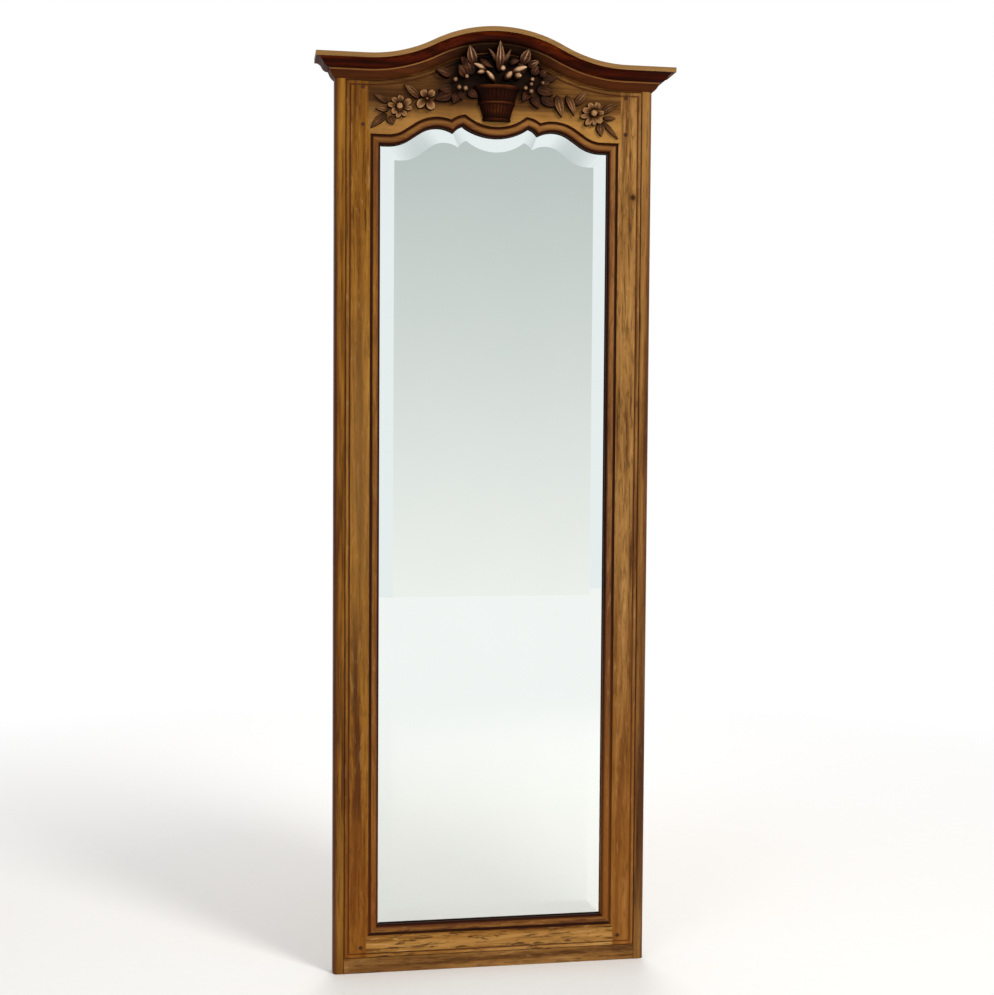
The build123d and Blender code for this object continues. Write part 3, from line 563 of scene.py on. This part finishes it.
def leafTop(mesh, layer, leaf, bend):
    # the carved top as rows of vertices from foot to tip, and the leaf's spine
    footX, footZ, tipX, tipZ, width, proud, kind = leaf
    foot = Vector((footX * mm, footZ * mm))
    tip = Vector((tipX * mm, tipZ * mm))
    along = tip - foot
    length = along.length
    across = Vector((-along.y, along.x)) / length
    shape = shapes[kind]
    steps, halves = shape["steps"], shape["halves"]
    rise = proud * mm
    rows, spine = [], []
    for i in range(steps + 1):
        u = i / steps
        broad = profile(kind, u)
        climb = math.sin(math.pi / 2 * min(1.0, 1.25 * u))
        level = rise * (shape["foot"] + (1 - shape["foot"]) * climb)
        centre = foot + along * u + across * (bend * length * math.sin(math.pi * u))
        spine.append(centre)
        row = []
        for j in range(-halves, halves + 1):
            v = j / halves
            at = centre + across * (width * mm / 2 * broad * v)
            lift, worn = surfaceLift(kind, u, v, width * mm)
            raised = lift * min(1.0, broad * 1.4)
            top = level * leafCut["level"] + raised - width * mm * leafCut["settle"]
            top = min(max(leafCut["least"] * mm, top), rise * leafCut["highest"])
            vertex = mesh.verts.new((at.x, faceY - top, at.y))
            # painted light: lighter towards the tip, shaded at the foot
            vertex[layer] = min(1.0, worn * (0.35 + 0.65 * min(1.0, u * 2.2)))
            row.append(vertex)
        rows.append(row)
    return rows, spine


def addLeaf(mesh, layer, leaf, bend):
    # one leaf, petal or bud: a carved top, sides that draw in, and a painted shadow line round it at
    # the rail
    rows, spine = leafTop(mesh, layer, leaf, bend)
    for a, b in zip(rows, rows[1:]):
        for j in range(len(a) - 1):
            mesh.faces.new((a[j], a[j + 1], b[j + 1], b[j]))
    loop = rows[0][:-1] + [row[-1] for row in rows[:-1]]
    loop += rows[-1][:0:-1] + [row[0] for row in rows[:0:-1]]
    middle = sum((Vector((v.co.x, v.co.z)) for v in loop), Vector((0, 0))) / len(loop)
    previous = loop
    for shrink, depth, worn in leafSides:
        ring = []
        for vertex in loop:
            flat = Vector((vertex.co.x, vertex.co.z))
            nearest = min(spine, key=lambda point: (point - flat).length_squared)
            drawn = nearest + (flat - nearest) * shrink
            drawn = middle + (drawn - middle) * (1 - (1 - shrink) * leafCut["spread"])
            stands = (faceY - vertex.co.y) * depth
            sunk = leafCut["sunk"] * mm if depth < 0 else 0.0
            made = mesh.verts.new((drawn.x, faceY - stands + sunk, drawn.y))
            made[layer] = worn
            ring.append(made)
        for k in range(len(loop)):
            n = (k + 1) % len(loop)
            mesh.faces.new((previous[k], previous[n], ring[n], ring[k]))
        previous = ring
    mesh.faces.new(previous)


def dress(piece, replaced=()):
    # every carved piece is smooth, rides on the frame and has the carving's finish
    for face in piece.data.polygons:
        face.use_smooth = True
    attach(piece, "root")
    if replaced:
        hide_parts(*replaced)


def finishMesh(name, mesh, material, replaced):
    # turns a bmesh into a piece with outward faces
    bmesh.ops.recalc_face_normals(mesh, faces=mesh.faces)
    data = bpy.data.meshes.new(name)
    mesh.to_mesh(data)
    mesh.free()
    data.materials.append(material)
    piece = bpy.data.objects.new(name, data)
    bpy.context.scene.collection.objects.link(piece)
    dress(piece, replaced)


# what every berry and seed shares; each one's own size and height come with it
berry = {"Berry size": 1.0, "Size spread": 0.05, "Stalk width": 0.7, "Seed": 7}
stalkSunk = 0.4 * mm  # how far a stalk goes into the rail
heart = {"middle": 0.8, "ring": 0.62, "seed": 0.26, "proud": 0.38}  # shares of a flower's radius


def berryTree(material):
    # a ball on a short stalk at every point
    tree = bpy.data.node_groups.new("berries", "GeometryNodeTree")
    tree.interface.new_socket("Geometry", in_out="INPUT", socket_type="NodeSocketGeometry")
    for label, value in berry.items():
        kind = "NodeSocketInt" if isinstance(value, int) else "NodeSocketFloat"
        tree.interface.new_socket(label, in_out="INPUT", socket_type=kind)
    tree.interface.new_socket("Geometry", in_out="OUTPUT", socket_type="NodeSocketGeometry")
    s = Shader(tree)
    points, size, spread, stalk, seed = (s.node("NodeGroupInput", out=i) for i in range(5))
    x, y, z = s.parts(s.node("GeometryNodeInputPosition"))
    ball = s.node("GeometryNodeMeshIcoSphere", None, {"Radius": 1.0, "Subdivisions": 3})
    # painted light: each ball pale on its front, dark towards the rail
    light = {"Geometry": ball, "Name": "worn", "Value": s.span(y, 0.4, -1.0, 0.1, 0.95)}
    ball = s.node("GeometryNodeStoreNamedAttribute", None, light)
    cone = {"Vertices": 14, "Radius Top": 0.9, "Radius Bottom": 1.0, "Depth": 1.0}
    post = s.node("GeometryNodeMeshCone", None, cone)
    own = s.node("GeometryNodeInputNamedAttribute", None, {"Name": "size"})
    reach = s.node("GeometryNodeInputNamedAttribute", None, {"Name": "reach"})
    chance = s.node("FunctionNodeRandomValue", None, {2: 1.0 - spread, 3: 1.0 + spread, 8: seed}, 1)
    width = own * size * chance
    thin = width * stalk
    lengths = s.node("ShaderNodeCombineXYZ", None, {0: thin, 1: thin, 2: reach})
    settings = {"Points": points, "Instance": ball, "Scale": width}
    balls = s.node("GeometryNodeInstanceOnPoints", None, settings)
    settings = {"Points": points, "Instance": post, "Scale": lengths}
    settings["Rotation"] = (-math.pi / 2, 0.0, 0.0)  # from the ball's middle back to the rail
    posts = s.node("GeometryNodeInstanceOnPoints", None, settings)
    joined = s.node("GeometryNodeJoinGeometry", None, {0: [balls, posts]})
    real = s.node("GeometryNodeRealizeInstances", None, {0: joined})
    dressed = s.node("GeometryNodeSetMaterial", None, {"Geometry": real, "Material": material})
    s.node("NodeGroupOutput", None, {0: dressed})
    return tree


def growBerries(name, spots, material):
    # spots are x, z, radius and how far out the ball's middle is, in mm
    cloud = bpy.data.meshes.new(name + "_points")
    cloud.from_pydata([(x * mm, faceY - out * mm, z * mm) for x, z, radius, out in spots], [], [])
    sizes = [spot[2] * mm for spot in spots]
    reaches = [spot[3] * mm + stalkSunk for spot in spots]
    for label, values in (("size", sizes), ("reach", reaches)):
        cloud.attributes.new(label, "FLOAT", "POINT").data.foreach_set("value", values)
    piece = bpy.data.objects.new(name, cloud)
    bpy.context.scene.collection.objects.link(piece)
    grown = piece.modifiers.new("berries", "NODES")
    grown.node_group = berryTree(material)
    for item in grown.node_group.interface.items_tree:
        if item.name in berry:
            grown[item.identifier] = berry[item.name]
    ready = piece.evaluated_get(bpy.context.evaluated_depsgraph_get())
    data = bpy.data.meshes.new_from_object(ready)
    piece.modifiers.clear()
    piece.data = data
    dress(piece)
    print(name, "grown:", len(spots), "balls")


def flowerHeart(x, z, radius, out, seeds):
    # the round middle of a flower and the ring of seeds on it
    spots = [(x, z, radius * heart["middle"], out)]
    for k in range(seeds):
        angle = 2 * math.pi * k / seeds
        seedX = x + math.cos(angle) * radius * heart["ring"]
        seedZ = z + math.sin(angle) * radius * heart["ring"]
        spots.append((seedX, seedZ, radius * heart["seed"], out + radius * heart["proud"]))
    return spots


def carve(name, leaves, material, replaced):
    # a bunch of leaves, petals and buds as one piece, each bent a little differently
    mesh = bmesh.new()
    layer = mesh.verts.layers.float.new("worn")
    chance = random.Random(name)
    for leaf in leaves:
        addLeaf(mesh, layer, leaf, chance.uniform(-0.06, 0.06))
    finishMesh(name, mesh, material, [replaced])


# foot x and z, tip x and z, width and how far it stands out, all in mm, then what it is
bouquetLeaves = [
    (3, 1856, 3, 1915, 16, 31, "leaf"),
    (2, 1868, -20, 1899, 7, 25, "leaf"),
    (6, 1868, 26, 1900, 8, 25, "leaf"),
    (-48, 1867, -59, 1903, 19, 29, "leaf"),
    (-5, 1833, -25, 1853, 10, 28, "bud"),
    (-23, 1857, -50, 1867, 10, 27, "bud"),
    (-23, 1855, -42, 1851, 11, 22, "bud"),
    (14, 1840, 28, 1855, 14, 24, "bud"),
    (27, 1855, 58, 1865, 12, 28, "bud"),
    (33, 1852, 48, 1847, 14, 24, "bud"),
    (50, 1872, 63, 1901, 20, 28, "leaf"),
    (62, 1869, 84, 1878, 14, 25, "leaf"),
    (-37, 1881, -10, 1863, 10, 17, "leaf"),
    (24, 1874, 46, 1880, 10, 17, "leaf"),
    (-93, 1846, -126, 1855, 16, 16, "leaf"),
    (-93, 1820, -120, 1816, 18, 12, "leaf"),
    (-91, 1811, -127, 1795, 22, 9, "leaf"),
    (-83, 1811, -90, 1788, 16, 11, "leaf"),
    (-78, 1815, -71, 1796, 13, 10, "leaf"),
    (-61, 1845, -80, 1865, 22, 18, "leaf"),
    (-51, 1848, -67, 1880, 22, 17, "leaf"),
    (-57, 1864, -76, 1882, 16, 15, "leaf"),
    (-60, 1816, -40, 1802, 16, 12, "leaf"),
    (95, 1844, 126, 1851, 13, 14, "leaf"),
    (90, 1836, 110, 1837, 13, 14, "leaf"),
    (83, 1828, 117, 1815, 20, 12, "leaf"),
    (72, 1809, 87, 1786, 16, 12, "leaf"),
    (91, 1810, 125, 1792, 18, 8, "leaf"),
    (68, 1818, 53, 1799, 16, 12, "leaf"),
    (72, 1853, 83, 1871, 16, 18, "leaf"),
    (88, 1853, 102, 1862, 15, 14, "leaf"),
    (56, 1856, 44, 1875, 16, 16, "leaf"),
]
# x and z, radius and how far its top stands out, all in mm
bouquetBerries = [
    (9, 1861, 5.5, 27),
    (-87, 1836, 5.1, 17),
    (-79, 1821, 5.5, 17),
    (-66, 1819, 5.5, 18),
    (-64, 1843, 4.4, 18),
    (58, 1825, 4.8, 18),
    (70, 1819, 5.5, 18),
    (72, 1843, 4.4, 18),
    (94, 1837, 4.8, 16),
    (70, 1833, 4.0, 17),
]
leftSpray = [
    (-223, 1785, -251, 1801, 10, 7, "leaf"),
    (-221, 1773, -248, 1773, 14, 9, "leaf"),
    (-225, 1763, -257, 1734, 14, 6, "leaf"),
    (-220, 1759, -212, 1742, 16, 7, "leaf"),
    (-204, 1773, -215, 1764, 12, 11, "petal"),
    (-202, 1770, -204, 1755, 10, 11, "petal"),
    (-197, 1771, -187, 1759, 10, 11, "petal"),
    (-193, 1777, -175, 1775, 9, 10, "petal"),
    (-194, 1783, -177, 1791, 12, 10, "petal"),
    (-199, 1786, -198, 1800, 12, 9, "petal"),
    (-204, 1783, -215, 1794, 10, 9, "petal"),
    (-206, 1779, -224, 1781, 9, 10, "petal"),
    (-158, 1797, -190, 1823, 14, 9, "leaf"),
    (-146, 1799, -155, 1812, 15, 10, "petal"),
    (-141, 1799, -130, 1812, 13, 10, "petal"),
    (-147, 1794, -163, 1778, 16, 10, "petal"),
    (-142, 1794, -132, 1775, 17, 10, "petal"),
    (-124, 1796, -108, 1794, 5, 5, "bud"),
]
rightSpray = [
    (101, 1804, 121, 1793, 6, 5, "bud"),
    (126, 1815, 136, 1771, 17, 11, "leaf"),
    (146, 1816, 162, 1775, 14, 11, "leaf"),
    (162, 1797, 189, 1826, 15, 9, "leaf"),
    (197, 1784, 179, 1786, 12, 11, "petal"),
    (197, 1779, 175, 1772, 9, 11, "petal"),
    (199, 1775, 186, 1756, 12, 12, "petal"),
    (203, 1775, 203, 1756, 9, 12, "petal"),
    (208, 1776, 218, 1761, 13, 12, "petal"),
    (211, 1780, 224, 1783, 9, 10, "petal"),
    (208, 1788, 211, 1803, 13, 9, "petal"),
    (200, 1787, 193, 1801, 12, 9, "petal"),
    (221, 1783, 255, 1801, 14, 8, "leaf"),
    (224, 1773, 250, 1773, 10, 8, "leaf"),
    (223, 1767, 256, 1731, 9, 7, "leaf"),
    (218, 1762, 220, 1735, 16, 9, "leaf"),
]
carve("bouquet", bouquetLeaves, bouquetOak, "carved_bouquet")
carve("left_flowers", leftSpray, sprayOak, "left_spray")
carve("right_flowers", rightSpray, sprayOak, "right_spray")
berries = [(x, z, radius, proud - radius) for x, z, radius, proud in bouquetBerries]
growBerries("bouquet_berries", berries, bouquetOak)
# x and z, radius, how far its middle stands out, and how many seeds are on it
flowers = [(-199.5, 1779, 7.5, 7, 7), (-143.5, 1797, 3.5, 5, 0), (203, 1781, 7.5, 8, 7)]
hearts = [spot for flower in flowers for spot in flowerHeart(*flower)]
growBerries("flower_hearts", hearts, sprayOak)
print("bouquet and sprays carved")

# the carved basket, in mm
basket = {
    "bottom": 1756.0,
    "top": 1826.0,
    "halfTop": 46.0,
    "halfBottom": 27.0,
    "proudTop": 28.0,
    "proudBottom": 17.0,
    "staves": 15,
    "staveGroove": 1.1,
    "around": 90,
    "sunk": 0.5,  # its back edge in the rail
    "mouth": (0.86, 0.84),  # the hollow inside the rim, as shares of its width and depth
    "mouthDepth": 6.0,
    # painted shade in the stave grooves
    "grooveShade": 0.45,  # how much darker the wood is in a groove
}
# height above the foot, how far the band stands out beyond the staves, and its wear and painted light
basketRings = [
    (0.0, 1.5, 0.45),
    (4.2, 1.8, 0.60),
    (5.0, 0.9, 0.15),
    (5.6, 0.0, 0.10),
    (18.0, 0.0, 0.75),
    (31.0, 0.0, 0.60),
    (32.4, 0.2, 0.10),
    (33.0, 1.5, 0.35),
    (37.6, 1.6, 0.85),
    (38.4, 0.3, 0.20),
    (50.0, 0.0, 0.30),
    (61.5, 0.0, 0.25),
    (62.4, 0.4, 0.15),
    (63.0, 2.2, 0.35),
    (68.6, 2.5, 0.70),
    (70.0, 1.9, 0.95),
]


def carveBasket():
    # a half-round tub of staves with a foot, a middle band and a rolled rim
    mesh = bmesh.new()
    layer = mesh.verts.layers.float.new("worn")
    rings = []
    for height, out, worn in basketRings:
        share = height / (basket["top"] - basket["bottom"])
        half = basket["halfBottom"] + share * (basket["halfTop"] - basket["halfBottom"]) + out
        proud = basket["proudBottom"] + share * (basket["proudTop"] - basket["proudBottom"]) + out
        ring = []
        for k in range(basket["around"] + 1):
            angle = math.pi * k / basket["around"]
            groove = 0.0
            if out < 0.1:
                groove = basket["staveGroove"] * (1 - abs(math.sin(basket["staves"] * angle)) ** 0.35)
            x = -math.cos(angle) * (half - groove)
            stand = math.sin(angle) * (proud - groove)
            back = basket["sunk"] if stand < 0.5 else 0.0
            at = Vector((x, faceY / mm - stand + back, basket["bottom"] + height))
            vertex = mesh.verts.new(at * mm)
            # painted shade: darker in the grooves and towards the sides of the tub, lighter on its
            # front
            vertex[layer] = max(0.0, worn - basket["grooveShade"] * groove) * (0.35 + 0.65 * math.sin(angle))
            ring.append(vertex)
        rings.append(ring)
    for a, b in zip(rings, rings[1:]):
        for k in range(basket["around"]):
            mesh.faces.new((a[k], a[k + 1], b[k + 1], b[k]))
        mesh.faces.new((a[0], b[0], b[-1], a[-1]))
    inner = []
    wide, deep = basket["mouth"]
    for x, y, z in [vertex.co for vertex in rings[-1]]:
        made = mesh.verts.new((x * wide, faceY + (y - faceY) * deep, z - basket["mouthDepth"] * mm))
        # the hollow inside the rim is near black: painted shade
        made[layer] = 0.0
        inner.append(made)
    for k in range(basket["around"]):
        mesh.faces.new((rings[-1][k], rings[-1][k + 1], inner[k + 1], inner[k]))
    mesh.faces.new((rings[-1][0], inner[0], inner[-1], rings[-1][-1]))
    mesh.faces.new(inner)
    mesh.faces.new(list(reversed(rings[0])))
    finishMesh("basket", mesh, basketOak, ["carved_basket"])


carveBasket()
print("basket carved")

# Floor, light and camera

studio = {
    "floorSize": 14.0,
    "floorDrop": 0.5 * mm,
    "floorColours": ((0.93, 0.92, 0.90, 1.0), (0.95, 0.94, 0.925, 1.0)),
    "whiteFrom": 1.2,  # the floor goes over to plain white between these distances
    "whiteFull": 3.2,
    "worldLevel": 0.5,
    "horizon": (1.0, 1.0, 0.97, 1.0),
    "above": (0.40, 0.46, 0.45, 1.0),
    "panel": (0.90, 0.93, 0.95, 1.0),
    "panelMiddle": 0.165,  # beyond this direction on both sides the bevels show a bright panel
}
white = (1.0, 1.0, 1.0, 1.0)


def rayKinds(s, *kinds):
    # 1 for the kinds of ray named
    paths = s.node("ShaderNodeLightPath").socket.node.outputs
    total = Wire(s, paths[kinds[0]])
    for kind in kinds[1:]:
        total = total + Wire(s, paths[kind])
    return s.span(total, 0.0, 1.0)


def makeFloor():
    mesh = bmesh.new()
    bmesh.ops.create_grid(mesh, x_segments=1, y_segments=1, size=studio["floorSize"] / 2)
    data = bpy.data.meshes.new("floor")
    mesh.to_mesh(data)
    mesh.free()
    made, s = newMaterial("pale_floor")
    place = s.place()
    first, second = studio["floorColours"]
    colour = s.blend(s.noise(place, 30.0, 3.0, 0.5), first, second)
    soft = s.node("ShaderNodeBsdfDiffuse", None, {0: colour})
    bright = s.node("ShaderNodeEmission", None, {0: white, 1: 1.0})
    away = s.node("ShaderNodeVectorMath", {"operation": "LENGTH"}, {0: place}, 1)
    seen = rayKinds(s, "Is Camera Ray", "Is Glossy Ray", "Is Transmission Ray")
    far = s.span(away, studio["whiteFrom"], studio["whiteFull"]) * seen
    shown = s.node("ShaderNodeMixShader", None, {0: far, 1: soft, 2: bright})
    s.node("ShaderNodeOutputMaterial", None, {0: shown})
    data.materials.append(made)
    floor = bpy.data.objects.new("floor", data)
    bpy.context.scene.collection.objects.link(floor)
    floor.location.z = -studio["floorDrop"]


def makeWorld():
    # white to the camera, plain light on the object, and a soft room in the mirror
    world = bpy.data.worlds.new("studio")
    bpy.context.scene.world = world
    world.use_nodes = True
    s = Shader(world.node_tree)
    x, y, z = s.parts(s.node("ShaderNodeTexCoord", None, None, "Generated"))
    sky = s.blend(s.span(z, -0.14, 0.30), studio["horizon"], studio["above"])
    sides = s.span(abs(x - studio["panelMiddle"]), 0.115, 0.20)
    over = s.span(z, 0.24, 0.34)
    panel = s.node("ShaderNodeMath", {"operation": "MAXIMUM"}, {0: sides, 1: over})
    sky = s.blend(panel, sky, studio["panel"])
    room = s.node("ShaderNodeBackground", None, {0: sky, 1: 1.0})
    plain = s.node("ShaderNodeBackground", None, {0: white, 1: studio["worldLevel"]})
    ground = s.node("ShaderNodeBackground", None, {0: white, 1: 1.0})
    mirrored = rayKinds(s, "Is Glossy Ray", "Is Transmission Ray")
    light = s.node("ShaderNodeMixShader", None, {0: mirrored, 1: plain, 2: room})
    camera = rayKinds(s, "Is Camera Ray")
    shown = s.node("ShaderNodeMixShader", None, {0: camera, 1: light, 2: ground})
    s.node("ShaderNodeOutputWorld", None, {0: shown})


# name, place, aim, size, watts, colour
lamps = [
    ("key", (2.2, -3.4, 3.6), (0.0, 0.0, 1.1), 1.4, 135.0, (1.0, 0.97, 0.92)),
    ("fill", (-3.0, -3.6, 2.2), (0.0, 0.0, 1.0), 2.6, 38.0, (0.97, 0.98, 1.0)),
    ("behind", (0.5, 3.4, 3.0), (0.0, 0.0, 1.0), 2.4, 70.0, (1.0, 1.0, 1.0)),
]


def makeLamps():
    for name, place, aim, size, watts, colour in lamps:
        light = bpy.data.lights.new(name, "AREA")
        light.shape = "DISK"
        light.size = size
        light.energy = watts
        light.color = colour
        lamp = bpy.data.objects.new(name, light)
        lamp.location = place
        lamp.rotation_euler = (Vector(aim) - Vector(place)).to_track_quat("-Z", "Y").to_euler()
        lamp.visible_camera = False
        lamp.visible_glossy = False
        bpy.context.scene.collection.objects.link(lamp)


# metres, radians, and pixels of the 994 pixel wide photograph
view = {
    "place": (-0.51714, -3.07926, 1.12189),
    "yaw": 0.16944,
    "pitch": -0.04377,
    "roll": 0.00681,
    "focal": 1500.0,
    "width": 994.0,
    "sensor": 36.0,
}


def makeCamera():
    yaw, pitch, roll = view["yaw"], view["pitch"], view["roll"]
    level = math.cos(pitch)
    ahead = Vector((math.sin(yaw) * level, math.cos(yaw) * level, math.sin(pitch)))
    right = Vector((math.cos(yaw), -math.sin(yaw), 0.0))
    up = right.cross(ahead)
    turnedRight = right * math.cos(roll) + up * math.sin(roll)
    turnedUp = up * math.cos(roll) - right * math.sin(roll)
    turn = Matrix((turnedRight, turnedUp, -ahead)).transposed()
    lens = bpy.data.cameras.new("camera")
    lens.sensor_fit = "HORIZONTAL"
    lens.sensor_width = view["sensor"]
    lens.lens = view["sensor"] * view["focal"] / view["width"]
    camera = bpy.data.objects.new("camera", lens)
    camera.matrix_world = Matrix.Translation(view["place"]) @ turn.to_4x4()
    bpy.context.scene.collection.objects.link(camera)
    bpy.context.scene.camera = camera


makeFloor()
makeWorld()
makeLamps()
makeCamera()
bpy.context.scene.view_settings.view_transform = "Standard"
print("studio ready")
